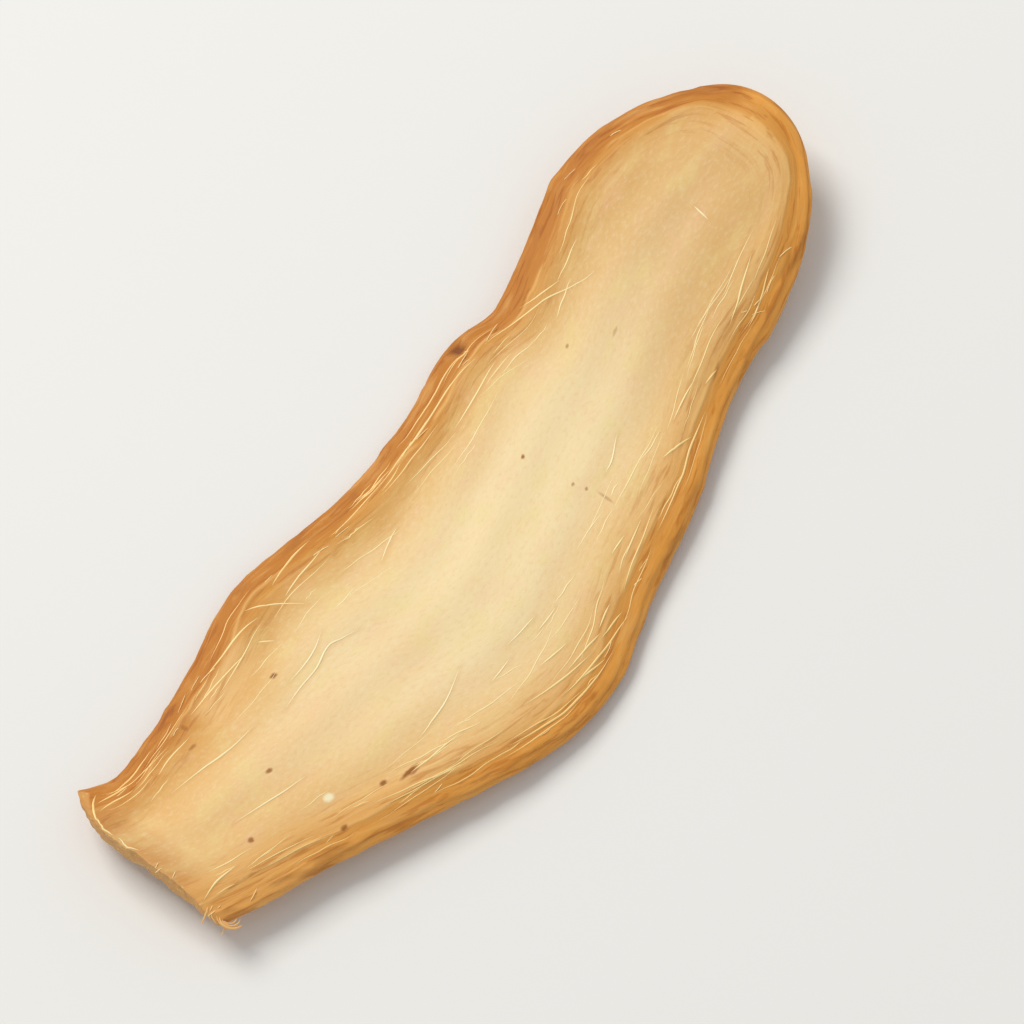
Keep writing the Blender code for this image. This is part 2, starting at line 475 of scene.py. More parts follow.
# The lamp and the room, in degrees and metres, and the floor, in mm
WINDOW_AZIMUTH = 172.0
WINDOW_ELEVATION = 50.0
WINDOW_DISTANCE = 0.7
WINDOW_SIZE = 0.35
WINDOW_COLOUR = (1.0, 0.985, 0.95)
ROOM_COLOUR = (0.97, 0.98, 1.0, 1.0)
FLOOR_REACH = 2500.0
FLOOR_GAP = 0.02
FLOOR_CLOUDS = 9.0
FLOOR_SHADE = 0.96


def screen_colour(red, green, blue):
    """A colour given by its screen values from 0 to 255, as the linear values that Blender mixes."""
    shares = np.array((red, green, blue)) / 255
    linear = np.where(shares < 0.04045, shares / 12.92, ((shares + 0.055) / 1.055) ** 2.4)
    return (*linear.tolist(), 1.0)


def smooth_through(at, knots, values):
    """A cubic curve through the knots, with each knot's slope taken from its neighbours."""
    slopes = np.gradient(values, knots)
    cell = np.clip(np.searchsorted(knots, at) - 1, 0, len(knots) - 2)
    step = knots[cell + 1] - knots[cell]
    t = (at - knots[cell]) / step
    rise = values[cell + 1] - values[cell]
    start, stop = slopes[cell] * step, slopes[cell + 1] * step
    return values[cell] + t * (start + t * ((3 * rise - 2 * start - stop) + t * (start + stop - 2 * rise)))


def crowded(share, crowding):
    """Moves evenly spaced places from -1 to 1 closer together towards both ends."""
    return np.sin(share * crowding * np.pi / 2) / np.sin(crowding * np.pi / 2)


def hump(distance, width):
    """A bell of height 1 and the given half width."""
    return np.exp(-((distance / width) ** 2))


def nearer(first, second):
    """The smaller of two distances, rounded where they are alike."""
    return (np.maximum(first, 1e-3) ** -4 + np.maximum(second, 1e-3) ** -4) ** -0.25


def eased(value, low, high):
    """0 below low, 1 above high, and an S-shaped rise between them."""
    share = np.clip((value - low) / (high - low), 0, 1)
    return share * share * (3 - 2 * share)


def soft_noise(u, v, seed):
    """Smooth random heights from -1 to 1: random values on a unit grid, joined by fifth-power curves."""
    table = np.random.default_rng(seed).uniform(-1, 1, (NOISE_CELLS, NOISE_CELLS))
    column, row = np.floor(u).astype(int), np.floor(v).astype(int)
    s, t = u - column, v - row
    s = s**3 * (s * (s * 6 - 15) + 10)
    t = t**3 * (t * (t * 6 - 15) + 10)
    near, far = column % NOISE_CELLS, (column + 1) % NOISE_CELLS
    low, high = row % NOISE_CELLS, (row + 1) % NOISE_CELLS
    start = table[near, low] * (1 - s) + table[far, low] * s
    stop = table[near, high] * (1 - s) + table[far, high] * s
    return start * (1 - t) + stop * t


def uneven(u, v, kind, seed, shift=0.0):
    """Noise of one kind: its strength times noise stretched to its length along u and its width along v."""
    strength, long, wide = kind
    return strength * soft_noise(u / long, v / wide + shift, seed)


def side_shift(across):
    """How far on each side of the slice reads its noise: SIDE_SHIFT on the +Y side and 0 on the other."""
    return SIDE_SHIFT * (across > 0)


def cut_line(across):
    """How far the square cut stands back: a little hollow in the middle, its +Y corner worn back."""
    return CUT_BACK - CUT_HOLLOW * across**2 + CUT_CORNER * np.clip(across, 0, 1) ** 4


def tip_arc(across, half):
    """How far the tip stands out past the last edge points: an arc as wide as they are."""
    radius = half / np.sin(TIP_TURN)
    return np.sqrt(radius**2 - (across * half) ** 2) - radius * np.cos(TIP_TURN)


def grain_relief(along, beside):
    """Ribs of the grain and the shallow hollows left by drying, in both cut faces, calm at the ends."""
    calm = np.clip(along / CALM_AT_CUT, 0, 1) * np.clip((LENGTH - along) / CALM_AT_TIP, 0, 1)
    wander = RIB_WANDER * np.sin(along / RIB_WANDER_REACH)
    ribs = RIB_HEIGHT * np.sin(2 * np.pi * beside / RIB_SPACING + wander)
    lengthwise = np.sin(along / HOLLOW_LENGTH + beside / HOLLOW_SKEW)
    hollows = HOLLOW_DEPTH * lengthwise * np.sin(beside / HOLLOW_WIDTH + along / HOLLOW_DRIFT)
    return calm * (ribs + hollows)


def warp(x, y, across):
    """The height of the slice's middle layer: ends lifted, a little twist, an arch across and wavy edges."""
    reach = 2 * x / LENGTH - 1
    lift = (LIFT_TIP + LIFT_CUT_END) / 2 * reach**2 + (LIFT_TIP - LIFT_CUT_END) / 2 * reach**3
    twist = TWIST * reach * (y - MIDDLE_LINE)
    arch = ARCH * (1 - across**2)
    wave = np.sin(x / EDGE_WAVE_REACH + EDGE_WAVE_TURN * np.sign(across))
    edge = EDGE_WAVE * np.abs(across) ** 3 * wave
    corner = CURL_CORNER * hump(x, CURL_REACH) * np.clip(across, 0, 1) ** 3
    return lift + twist + arch + edge + corner


def edges_at(along):
    """The middle line and the half width between the two bark edges."""
    left = smooth_through(along, LEFT_EDGE[:, 0], LEFT_EDGE[:, 1])
    right = smooth_through(along, RIGHT_EDGE[:, 0], RIGHT_EDGE[:, 1])
    return (left + right) / 2, (left - right) / 2


def rim_distance(along, across):
    """How far a place on a cut face is from the bark: the nearer of the long edges and the tip."""
    half = edges_at(along)[1]
    return nearer((1 - np.abs(across)) * half, LENGTH - along)


def rim_lines(along, across):
    """Heights from -1 to 1 of the raised lines beside the bark: a wave of the rim distance, in patches."""
    rim = rim_distance(along, across)
    side = side_shift(across)
    wander = uneven(along, rim, LINE_WANDER, LINE_SEED, side)
    wander = wander + uneven(along, rim, LINE_JITTER, LINE_SEED + 1)
    patches = eased(uneven(along, rim, LINE_PATCHES, LINE_SEED + 2, side), *LINE_PATCH_LEVELS)
    inward = 1 - eased(rim, LINE_FULL_REACH, LINE_REACH)
    return inward * patches * np.sin(2 * np.pi * (rim / LINE_SPACING + wander))


def rind_edge(along, across):
    """How far in from the bark the crisp edge of the face runs: the rind's width, wandering along it."""
    side = side_shift(across)
    wander = uneven(along, 0.0, RIND_WANDER, RIND_SEED, side)
    return RIND_WIDTH + wander + uneven(along, 0.0, RIND_JITTER, RIND_SEED + 1, side)


def lip_strength(along, across):
    """A broken bright line along the rind's edge, from 0 to 1: a bell across it, in patches along it."""
    patches = eased(uneven(along, 0.0, LIP_PATCHES, LIP_SEED, side_shift(across)), *LIP_PATCH_LEVELS)
    return patches * hump(rim_distance(along, across) - rind_edge(along, across), LIP_WIDTH)


def rind_share(along, across):
    """1 on the rind outside the face's crisp edge and 0 inside it."""
    return eased(rind_edge(along, across) - rim_distance(along, across), *RIND_FADE)


def strand_furrows(along, across):
    """How deep the flesh has shrunk beside each placed strand, from 0 to 1, on its shaded side.

    Each strand is cut into straight runs. A run's furrow is a bell round a line beside it, on its -Y side.
    """
    half = edges_at(along)[1]
    depth = np.zeros_like(along)
    for places, width in TOP_STRANDS:
        for (x0, a0), (x1, a1) in zip(places, places[1:]):
            run, climb = x1 - x0, (a1 - a0) * half
            beside = (across - a0) * half + FURROW_ASIDE * width
            share = np.clip(((along - x0) * run + beside * climb) / (run**2 + climb**2), 0, 1)
            away = np.hypot(along - x0 - share * run, beside - share * climb)
            depth = np.maximum(depth, hump(away, FURROW_WIDTH) * min(1, width / FURROW_FULL_FROM))
    return depth


def face_relief(along, across, seed):
    """Fine relief of a cut face: flutes along the grain, dimples, lines beside the bark, and the rind."""
    beside = across * edges_at(along)[1]
    bumps = uneven(along, beside, FLUTES, seed) + uneven(along, beside, DIMPLES, seed + 1)
    rind = LIP_HEIGHT * lip_strength(along, across) - RIND_STEP * rind_share(along, across)
    return bumps + LINE_HEIGHT * rim_lines(along, across) + rind


def wall_relief(along, through, seed):
    """Wrinkles of the bark wall: ribs along the slice that wander up and down, bumps and creases."""
    drift = WALL_DRIFT * soft_noise(along / WALL_DRIFT_LENGTH, np.zeros_like(along), seed)
    ribs = WALL_RIB_HEIGHT * np.sin(WALL_RIB_TURN * through + drift)
    bumps = WALL_BUMP_HEIGHT * soft_noise(along / WALL_BUMP_LENGTH, through * WALL_BUMP_RATE, seed + 1)
    fine = soft_noise(along / WALL_CREASE_LENGTH, through * WALL_CREASE_RATE + drift, seed + 2)
    return ribs + bumps + WALL_CREASE_HEIGHT * fine


def ragged_cut(beside, through):
    """Unevenness of the square cut along the grain, in mm: coarse tears and finer nicks."""
    tears = TEAR_DEPTH * soft_noise(beside / TEAR_WIDTH, through * TEAR_RATE, TEAR_SEED)
    nicks = NICK_DEPTH * soft_noise(beside / NICK_WIDTH, through * NICK_RATE, TEAR_SEED + 1)
    return tears + nicks


def slice_form(along, across, through, fine):
    """A point of the slice in mm: along the grain, across it (-1 to 1) and through it (-1 below, 1 on top).

    x is the distance along, with the cut's line and the tip's arc added near the ends. y is the middle
    line plus across times the half width, less the bark's slope. z is the warp plus through times half
    the thickness and the relief. fine is the strength of the fine relief, 0 for the CAD solid's own form.
    """
    middle, half = edges_at(along)
    tip_half = (LEFT_EDGE[-1, 1] - RIGHT_EDGE[-1, 1]) / 2
    from_edge = rim_distance(along, across)
    left_side = across > 0

    rings = sum(hump(along - spot, RING_WIDTH) for spot in RING_PLACES)
    slope_in = BARK_SLOPE * (through + 1) / 2 - BARK_BULGE * (1 - through**2) - RING_HEIGHT * rings
    left_wrinkles = wall_relief(along, through, LEFT_WALL_SEED)
    wrinkles = np.where(left_side, left_wrinkles, wall_relief(along, through, RIGHT_WALL_SEED))
    scar = SCAR_DEPTH * hump(along - ROOT_SCAR, SCAR_LENGTH) * hump(through - SCAR_UP, SCAR_TALL) * left_side
    slope_in = slope_in + fine * (wrinkles + scar) * np.abs(across) ** WALL_FADE
    near_tip = np.clip(1 - (LENGTH - along) / TIP_REACH, 0, 1) ** 2
    near_cut = np.clip(1 - along / TIP_REACH, 0, 1)
    slope_in = slope_in * (1 - TIP_CORNER_EASE * near_tip**2 * across**8)
    y = middle + across * (half - slope_in)
    x = along + near_cut * cut_line(across) + near_tip * (tip_arc(across, tip_half) - slope_in)
    beside = across * half
    x = x + fine * ragged_cut(beside, through) * eased(RAGGED_REACH - along, 0, RAGGED_REACH)

    thick = THICK_MIDDLE + (THICK_RIM - THICK_MIDDLE) * across**2
    thick = thick * (1 - THIN_AT_CUT * np.clip(1 - along / THIN_REACH, 0, 1) ** 2)
    thick = thick * (1 - THIN_AT_TIP * np.clip(1 - (LENGTH - along) / THIN_REACH, 0, 1) ** 2)
    roll = ROLL_LEFT + (ROLL_RIGHT - ROLL_LEFT) * (1 - across) / 2
    drop = ROLL_SHARE * thick * np.clip(1 - from_edge / roll, 0, 1) ** 2
    ridge = RIDGE_HEIGHT * hump(from_edge - RIDGE_FROM_EDGE, RIDGE_WIDTH)
    upper = face_relief(along, across, UPPER_FACE_SEED) - FURROW_DEPTH * strand_furrows(along, across)
    detail = np.where(through > 0, upper, face_relief(along, across, LOWER_FACE_SEED))
    relief = ridge - drop + grain_relief(along, beside) + fine * detail
    z = warp(x, y, across) + through * (thick / 2 + relief)
    return np.stack([x, y, z], axis=-1)


def shell_lattice(counts):
    """The surface of a block of lattice points: each outer point once, from -1 to 1, and the quads between.

    Each of the six sides is a grid of point numbers with one axis held at its first or last number. A
    quad joins four neighbours, turned so that it faces out.
    """
    numbers = np.arange(np.prod(counts)).reshape(counts)
    quads = []
    for axis in range(3):
        for end in (0, -1):
            side = np.take(numbers, end, axis=axis)
            corners = (side[:-1, :-1], side[1:, :-1], side[1:, 1:], side[:-1, 1:])
            loops = np.stack(corners, axis=-1).reshape(-1, 4)
            faces_out = (end == -1) != (axis == 1)
            quads.append(loops if faces_out else loops[:, ::-1])
    used, quads = np.unique(np.concatenate(quads), return_inverse=True)
    places = np.stack(np.unravel_index(used, counts), axis=1)
    return places / (np.array(counts) - 1) * 2 - 1, quads.reshape(-1, 4)


def shell_places(counts):
    """The shell's points as distance along the grain and shares across it and through it, and its quads."""
    lattice, quads = shell_lattice(counts)
    a, b, c = lattice.T
    return (crowded(a, CROWD_TO_END) + 1) / 2 * LENGTH, crowded(b, CROWD_TO_EDGE), c, quads


def frame_shift():
    """What moves the form's own box onto the CAD solid's box, in mm, with its lowest part rubbed off."""
    along, across, through, _ = shell_places(COARSE_POINTS)
    points = slice_form(along, across, through, 0)
    low, high = points.min(axis=0), points.max(axis=0)
    cad_middle = (np.array(SLICE_LOW) + np.array(SLICE_HIGH)) / 2 / MM
    shift = cad_middle - (low + high) / 2
    shift[2] = SLICE_LOW.z / MM - SETTLE - low[2]
    return shift


SHIFT = frame_shift()


def slice_point(along, across, through, fine=1.0):
    """A point of the slice in mm in the CAD frame: its form, moved into place and flat where it rests."""
    points = slice_form(along, across, through, fine) + SHIFT
    points[..., 2] = np.maximum(points[..., 2], SLICE_LOW.z / MM)
    return points


def face_normals(along, across, side):
    """The direction square to a cut face at each place: the cross product of its two slopes, facing out."""
    step_along, step_across = 0.15, 0.01
    forward = slice_point(np.clip(along + step_along, 0, LENGTH), across, side)
    back = slice_point(np.clip(along - step_along, 0, LENGTH), across, side)
    left = slice_point(along, np.clip(across + step_across, -1, 1), side)
    right = slice_point(along, np.clip(across - step_across, -1, 1), side)
    normal = np.cross(forward - back, left - right) * side[..., None]
    return normal / np.linalg.norm(normal, axis=-1, keepdims=True)


def shrunk_ends(share, blunt):
    """How wide a fibre is at each share of its length: full in the middle, tapering to fine ends."""
    return np.clip(1 - np.abs(2 * share - 1) ** blunt, THINNEST, 1)


def tubes(lines, normals, radii, sides, height=1.0):
    """Many closed tubes at once, each along a line of its own, as points and faces.

    A ring's point is its line's point + radius * (height * cos turn * up + sin turn * beside), where beside
    is square to the line and the normal, and up is square to both. A flat face closes each end.
    lines and normals are (tubes, rings, 3) and radii (tubes, rings).
    """
    ahead = np.gradient(lines, axis=1)
    ahead /= np.linalg.norm(ahead, axis=2, keepdims=True)
    beside = np.cross(ahead, normals)
    beside /= np.linalg.norm(beside, axis=2, keepdims=True)
    up = height * np.cross(beside, ahead)
    turn = np.arange(sides)[:, None] * 2 * np.pi / sides
    spokes = np.cos(turn) * up[:, :, None] + np.sin(turn) * beside[:, :, None]
    points = lines[:, :, None] + radii[:, :, None, None] * spokes
    numbers = np.arange(points[..., 0].size).reshape(points.shape[:3])
    onward = np.roll(numbers, -1, axis=2)
    walls = np.stack([numbers[:, :-1], onward[:, :-1], onward[:, 1:], numbers[:, 1:]], axis=-1)
    faces = [*walls.reshape(-1, 4).tolist(), *numbers[:, 0, ::-1].tolist(), *numbers[:, -1].tolist()]
    return points, faces


def add_piece(name, points, faces, material, values):
    """A smooth-shaded mesh object at the origin, from points in mm, with named values kept on its points."""
    mesh = bpy.data.meshes.new(name)
    mesh.from_pydata((points.reshape(-1, 3) * MM).tolist(), [], faces)
    mesh.update()
    for title, numbers in values.items():
        is_vector = numbers.ndim == 2
        kept = mesh.attributes.new(title, "FLOAT_VECTOR" if is_vector else "FLOAT", "POINT")
        kept.data.foreach_set("vector" if is_vector else "value", numbers.astype(np.float32).ravel())
    mesh.shade_smooth()
    mesh.materials.append(material)
    piece = bpy.data.objects.new(name, mesh)
    bpy.context.scene.collection.objects.link(piece)
    return piece


def keep_on_body(piece):
    """The piece moves with the slice's only body."""
    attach(piece, BODY)


def fine_slice(sizes, material):
    """The slice itself: the CAD solid's form with fine relief, as one closed shell of lattice points.

    Its points keep where they lie in the grain and how far from the bark (below 0 on the bark wall). The
    lane counts the same way from the upper face on down the wall and under. They also keep whether they
    lie on the +Y side, the square cut or the rind, and where the lip, the scar and the furrows are.
    """
    along, across, through, quads = shell_places(FINE_POINTS)
    points = slice_point(along, across, through, sizes.relief)
    half = edges_at(along)[1]
    on_wall = (np.abs(across) > 1 - TOUCHING) | (along > LENGTH - TOUCHING)
    rim = rim_distance(along, across) * ~on_wall - (1 - np.abs(through)) * THICK_RIM / 2 * on_wall
    face_lane = np.where(through > 0, rim, -WALL_HEIGHT - rim)
    lane = np.where(on_wall, (through - 1) * WALL_HEIGHT / 2, face_lane)
    grain = np.stack([along, across * half, through], axis=1)
    scar = hump(along - ROOT_SCAR, STAIN_LENGTH) * eased(across, *STAIN_ACROSS) * eased(through, *STAIN_UP)
    # The furrow's share also places the painted shade beside the strands in the flesh's colour
    furrow = strand_furrows(along, across) * (through > 1 - TOUCHING)
    values = {
        "grain": grain,
        "rim": rim,
        "lane": lane,
        "scar": scar,
        "bark_side": eased(across, *BARK_SIDE_FADE),
        "furrow": furrow,
        "cut": along < TOUCHING,
        "rind": rind_share(along, across),
        # The lip's share also places its painted highlight
        "lip": lip_strength(along, across) * ~on_wall,
    }
    piece = add_piece("fine_slice", points, quads.tolist(), material, values)
    piece.data.set_sharp_from_angle(angle=math.radians(SHARP_ANGLE))
    keep_on_body(piece)
    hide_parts("rhizome_slice")
    return piece


def placed_strands(share):
    """The strands seen on the upper face, as rows of places along and across, and their widths."""
    along, across, widths = [], [], []
    for places, width in TOP_STRANDS:
        steps = np.linspace(0, 1, len(places))
        along.append(np.interp(share, steps, [place[0] for place in places]))
        across.append(smooth_through(share, steps, np.array([place[1] for place in places])))
        widths.append(width)
    return np.array(along), np.array(across), np.array(widths)


def scattered_strands(share, count, seed):
    """Shorter, thinner strands at random: mostly towards the bark, each keeping its distance from it."""
    draw = np.random.default_rng(seed)
    each = (count, 1)
    length = draw.uniform(*SCATTERED_LENGTHS, each)
    start = draw.uniform(*SCATTERED_STARTS, each)
    lane = np.sign(draw.uniform(-1, 1, each)) * draw.uniform(*SCATTERED_LANES, each) ** SCATTERED_CROWDING
    drift = draw.normal(0, SCATTERED_DRIFT, each) * length
    turn = draw.uniform(*SCATTERED_WAVES, each) * share * SCATTERED_TURN
    wobble = SCATTERED_WOBBLE * np.sin(turn + draw.uniform(0, SCATTERED_TURN, each))
    limit = SCATTERED_LANES[1]
    across = np.clip(lane + drift * (share - 0.5) + wobble, -limit, limit)
    return start + length * share, across, draw.uniform(*SCATTERED_WIDTHS, count)


def strand_lines(along, across, widths, side):
    """Strand lines in mm, sunk in a cut face so that only their upper part shows, and uneven in width."""
    side = np.full_like(along, side)
    spread = across * STRAND_NOISE_SPREAD
    across = across + STRAND_WAVER * soft_noise(along / STRAND_WAVER_LENGTH, spread, WAVER_SEED)
    base = slice_point(along, across, side)
    normals = face_normals(along, across, side)
    share = np.linspace(0, 1, along.shape[1])
    spread = across * STRAND_NOISE_SPREAD
    swelling = 1 + STRAND_UNEVEN * soft_noise(along / STRAND_UNEVEN_LENGTH, spread, WAVER_SEED + 1)
    radii = widths[:, None] / 2 * shrunk_ends(share, STRAND_BLUNT) * swelling
    return base - STRAND_SINK * radii[..., None] * normals, normals, radii


def strands(sizes, material):
    """The vascular strands that the knife left proud on both faces: tapered tubes sunk in the surface."""
    share = np.linspace(0, 1, STRAND_RINGS)
    groups = [
        (*placed_strands(share), 1.0),
        (*scattered_strands(share, sizes.strands, UPPER_STRANDS_SEED), 1.0),
        (*scattered_strands(share, sizes.strands, LOWER_STRANDS_SEED), -1.0),
    ]
    laid = [strand_lines(*group) for group in groups]
    lines, normals, radii = (np.concatenate(kind) for kind in zip(*laid))
    points, faces = tubes(lines, normals, radii, STRAND_SIDES)
    points[..., 2] = np.maximum(points[..., 2], SLICE_LOW.z / MM)
    along = np.concatenate([group[0] for group in groups])
    across = np.concatenate([group[1] for group in groups])
    rim = np.repeat(rim_distance(along, across).ravel(), STRAND_SIDES)
    grain = np.stack([along, across * edges_at(along)[1], np.zeros_like(along)], axis=-1)
    grain = np.repeat(grain.reshape(-1, 3), STRAND_SIDES, axis=0)
    piece = add_piece("strands", points, faces, material, {"grain": grain, "rim": rim})
    keep_on_body(piece)
    return piece


def loose_fibres(sizes, material):
    """Fine fibres torn loose at the rims and the cut end: each leaves the face and bends over.

    A fibre's point is its root + its length * share * a heading in the face + a rise that bends back down.
    The headings lie near the grain. Those at the cut are short and point out over it.
    """
    draw = np.random.default_rng(FIBRE_SEED)
    count = sizes.fibres
    share = np.linspace(0, 1, FIBRE_RINGS)
    at_cut = draw.uniform(0, 1, count) < FIBRES_AT_CUT
    along_cut = draw.uniform(*CUT_FIBRES_ALONG, count)
    along = np.where(at_cut, along_cut, draw.uniform(*RIM_FIBRES_ALONG, count))
    edge = np.sign(draw.uniform(-1, 1, count)) * draw.uniform(*RIM_FIBRES_ACROSS, count)
    across = np.where(at_cut, CUT_FIBRES_SPAN * draw.uniform(0, 1, count) ** 2 + CUT_FIBRES_FROM, edge)
    side = np.ones(count)
    root = slice_point(along, across, side)
    normal = face_normals(along, across, side)
    backward = at_cut | (draw.uniform(0, 1, count) < 0.5)
    heading = draw.normal(0, FIBRE_SPREAD, count) + np.pi * backward
    ahead = np.stack([np.cos(heading), np.sin(heading), np.zeros(count)], axis=1)
    ahead -= (ahead * normal).sum(axis=1, keepdims=True) * normal
    turned = np.cross(normal, ahead)
    length = (draw.uniform(*FIBRE_LENGTHS, count) * np.where(at_cut, CUT_FIBRE_LENGTH, 1.0))[:, None, None]
    bend = draw.uniform(-FIBRE_BEND, FIBRE_BEND, count)[:, None, None]
    rise = draw.uniform(*FIBRE_RISE, count)[:, None, None]
    s = share[None, :, None]
    lines = root[:, None] + length * (s * ahead[:, None] + bend * s**2 * turned[:, None])
    lines = lines + (rise * 4 * s * (1 - s) - FIBRE_SINK) * normal[:, None]
    radii = draw.uniform(*FIBRE_RADII, count)[:, None] * shrunk_ends(share, FIBRE_BLUNT)[None]
    normals = np.repeat(normal[:, None], len(share), axis=1)
    points, faces = tubes(lines, normals, radii, FIBRE_SIDES)
    values = {"rim": np.full(points[..., 0].size, FIBRE_TONE), "grain": points.reshape(-1, 3)}
    piece = add_piece("loose_fibres", points, faces, material, values)
    keep_on_body(piece)
    return piece


def frayed_corner(material):
    """Flat bark fibres that curl at the cut's -Y corner, each an arc that starts inside the flesh.

    A fibre's point is its root + length / turn * (sin(turn * share) * ahead + (1 - cos(turn * share)) *
    sideways), lowered by its droop * share^2.
    """
    share = np.linspace(0, 1, FRAY_RINGS)
    across, through, heading, turn, length, width, droop = np.array(FRAYED_FIBRES).T
    root = slice_point(np.full_like(across, FRAY_ROOT), across, through)
    heading, turn = np.radians(heading), np.radians(turn)[:, None]
    level = np.zeros_like(heading)
    ahead = np.stack([np.cos(heading), np.sin(heading), level], axis=1)
    sideways = np.stack([-np.sin(heading), np.cos(heading), level], axis=1)
    onward = (np.sin(turn * share) / turn)[..., None] * ahead[:, None]
    aside = ((1 - np.cos(turn * share)) / turn)[..., None] * sideways[:, None]
    lines = root[:, None] + length[:, None, None] * (onward + aside)
    lines[..., 2] -= droop[:, None] * share**2
    normals = np.broadcast_to((0.0, 0.0, 1.0), lines.shape)
    radii = width[:, None] / 2 * shrunk_ends(share, FRAY_BLUNT)
    points, faces = tubes(lines, normals, radii, FRAY_SIDES, FRAY_FLATNESS)
    values = {"rim": np.full(points[..., 0].size, FRAY_TONE), "grain": points.reshape(-1, 3)}
    piece = add_piece("frayed_corner", points, faces, material, values)
    keep_on_body(piece)
    return piece


def add_node(tree, kind, inputs, **settings):
    """One shader node, with its settings and its sockets set to values or joined to other outputs."""
    node = tree.nodes.new("ShaderNode" + kind)
    for title, value in settings.items():
        setattr(node, title, value)
    for socket, value in inputs.items():
        if isinstance(value, bpy.types.NodeSocket):
            tree.links.new(value, node.inputs[socket])
        else:
            node.inputs[socket].default_value = value
    return node


def sum_of(tree, operation, first, second=0.0, third=0.0):
    """The result of one sum on numbers, such as ADD or MULTIPLY."""
    return add_node(tree, "Math", {0: first, 1: second, 2: third}, operation=operation).outputs[0]


def times(tree, first, second):
    """The product of two numbers."""
    return sum_of(tree, "MULTIPLY", first, second)


def vector_sum(tree, operation, *vectors):
    """The result of one sum on vectors, such as ADD or MULTIPLY."""
    return add_node(tree, "VectorMath", dict(enumerate(vectors)), operation=operation).outputs[0]


def kept_value(tree, title):
    """A number kept on the mesh's points."""
    return add_node(tree, "Attribute", {}, attribute_name=title).outputs["Fac"]


def kept_place(tree):
    """The place in the grain kept on the mesh's points: along it, across it and through it."""
    return add_node(tree, "Attribute", {}, attribute_name="grain").outputs["Vector"]


def stretched_noise(tree, place, scales, detail=2.0, roughness=0.5, distortion=0.0):
    """Noise from 0 to 1, with a scale per mm of its own in each direction."""
    scaled = vector_sum(tree, "MULTIPLY", place, scales)
    settings = {"Detail": detail, "Roughness": roughness, "Distortion": distortion}
    return add_node(tree, "TexNoise", {"Vector": scaled, "Scale": 1.0, **settings}).outputs["Fac"]


def eased_between(tree, value, low, high):
    """0 where the value is at low, 1 where it is at high, and an S-shaped change between them."""
    inputs = {"Value": value, "From Min": low, "From Max": high}
    return add_node(tree, "MapRange", inputs, interpolation_type="SMOOTHSTEP").outputs["Result"]


def mixed(tree, share, first, second, blend="MIX"):
    """Two colours mixed by a share."""
    inputs = {0: share, 6: first, 7: second}
    return add_node(tree, "Mix", inputs, data_type="RGBA", blend_type=blend).outputs[2]


def colour_scale(tree, value, span, band, last):
    """A colour read from a scale: the value runs over the span, past the band's stops and a last one."""
    low, high = span
    share = add_node(tree, "MapRange", {"Value": value, "From Min": low, "From Max": high}).outputs["Result"]
    node = add_node(tree, "ValToRGB", {"Fac": share})
    stops = [(at, screen_colour(*tint)) for at, tint in band] + [last]
    marks = node.color_ramp.elements
    while len(marks) < len(stops):
        marks.new(0.5)
    for mark, (at, colour) in zip(marks, stops):
        mark.position = (at - low) / (high - low)
        mark.color = colour
    return node.outputs["Color"]


def tinted(tree, colour, tint, *shares, blend="MIX"):
    """The colour with a tone laid over it, as strong as the product of the shares."""
    strength = shares[0]
    for share in shares[1:]:
        strength = times(tree, strength, share)
    return mixed(tree, strength, colour, screen_colour(*tint), blend)


def new_material(title, finish):
    """An empty material with its Principled shader, its roughness and specular level set."""
    material = bpy.data.materials.new(title)
    material.use_nodes = True
    shader = material.node_tree.nodes["Principled BSDF"]
    shader.inputs["Roughness"].default_value = finish[0]
    shader.inputs["Specular IOR Level"].default_value = finish[1]
    return material, material.node_tree, shader


def spot_mask(tree, place, spot):
    """1 in the middle of a small oval mark on the upper face, fading to 0 at its edge."""
    far, beside, long, wide = spot
    away = vector_sum(tree, "SUBTRACT", place, (far, beside, UPPER_FACE))
    scaled = vector_sum(tree, "MULTIPLY", away, (1 / long, 1 / wide, 1.0))
    length = add_node(tree, "VectorMath", {0: scaled}, operation="LENGTH").outputs["Value"]
    return eased_between(tree, length, *SPOT_FADE)


def flesh_places(tree):
    """Where a point of the slice lies: what its mesh keeps, and shares from 0 to 1 worked out from it.

    inside grows from the bark to the middle, on_wall is the bark wall, on_cut the square cut and near_rim
    a band beside the bark. along_rim counts along the grain, then from the upper face on down the wall.
    """
    grain = kept_place(tree)
    rim = kept_value(tree, "rim")
    on_cut = kept_value(tree, "cut")
    along, beside, _ = add_node(tree, "SeparateXYZ", {0: grain}).outputs
    off_cut = sum_of(tree, "SUBTRACT", 1.0, on_cut)
    lanes = {0: along, 1: kept_value(tree, "lane"), 2: beside}
    return SimpleNamespace(
        grain=grain,
        rim=rim,
        along=along,
        along_rim=add_node(tree, "CombineXYZ", lanes).outputs[0],
        bark_side=kept_value(tree, "bark_side"),
        inside=eased_between(tree, rim, 0.0, 4.0),
        on_wall=eased_between(tree, rim, 0.5, -0.1),
        on_cut=on_cut,
        near_rim=times(tree, eased_between(tree, rim, 4.5, 0.8), off_cut),
    )


